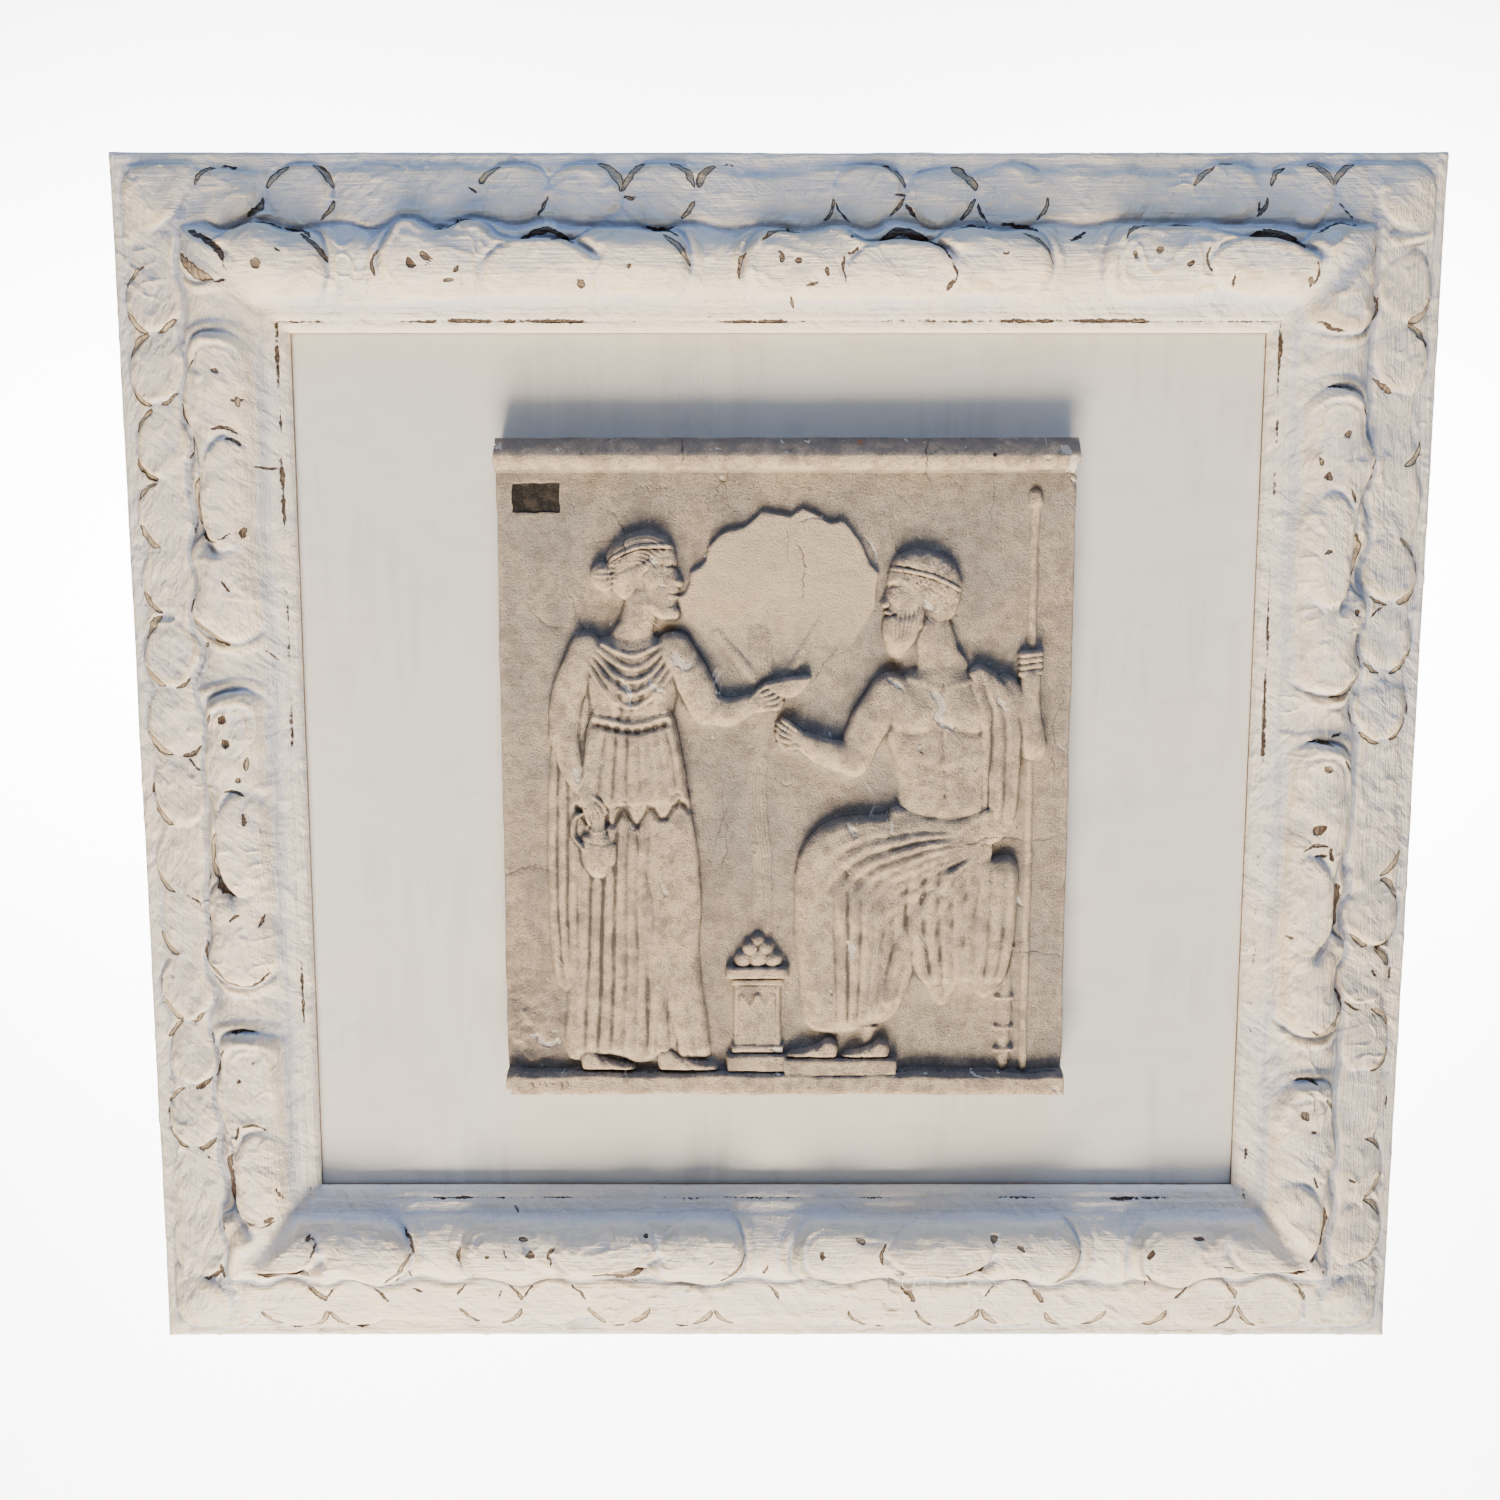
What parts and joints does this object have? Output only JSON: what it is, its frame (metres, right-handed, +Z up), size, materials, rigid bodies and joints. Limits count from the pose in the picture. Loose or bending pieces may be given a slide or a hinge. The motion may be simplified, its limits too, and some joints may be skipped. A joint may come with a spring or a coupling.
{
  "type": "framed plaster wall relief",
  "caption": "Square plaster relief slab with two classical figures, mounted on a painted panel inside a wide carved and whitewashed wooden frame.",
  "frame": {"origin": "middle of the top rail's flat back, where the frame lies against the wall", "axes": "+X to the viewer's right along the wall, +Z up, +Y into the wall, so that the carved front faces -Y"},
  "size_m": [0.7, 0.0442, 0.654],
  "materials": {
    "whitewashed_wood": "brushed whitewash over carved wood, chipped and rubbed at the edges",
    "painted_panel": "flat pale grey paint with faint brush marks",
    "aged_plaster": "matt aged plaster with dark grime in the hollows"
  },
  "bodies": {
    "root": {"rail_top": "whitewashed_wood", "rail_bottom": "whitewashed_wood", "rail_left": "whitewashed_wood", "rail_right": "whitewashed_wood", "panel": "painted_panel", "slab": "aged_plaster"}
  },
  "joints": []
}
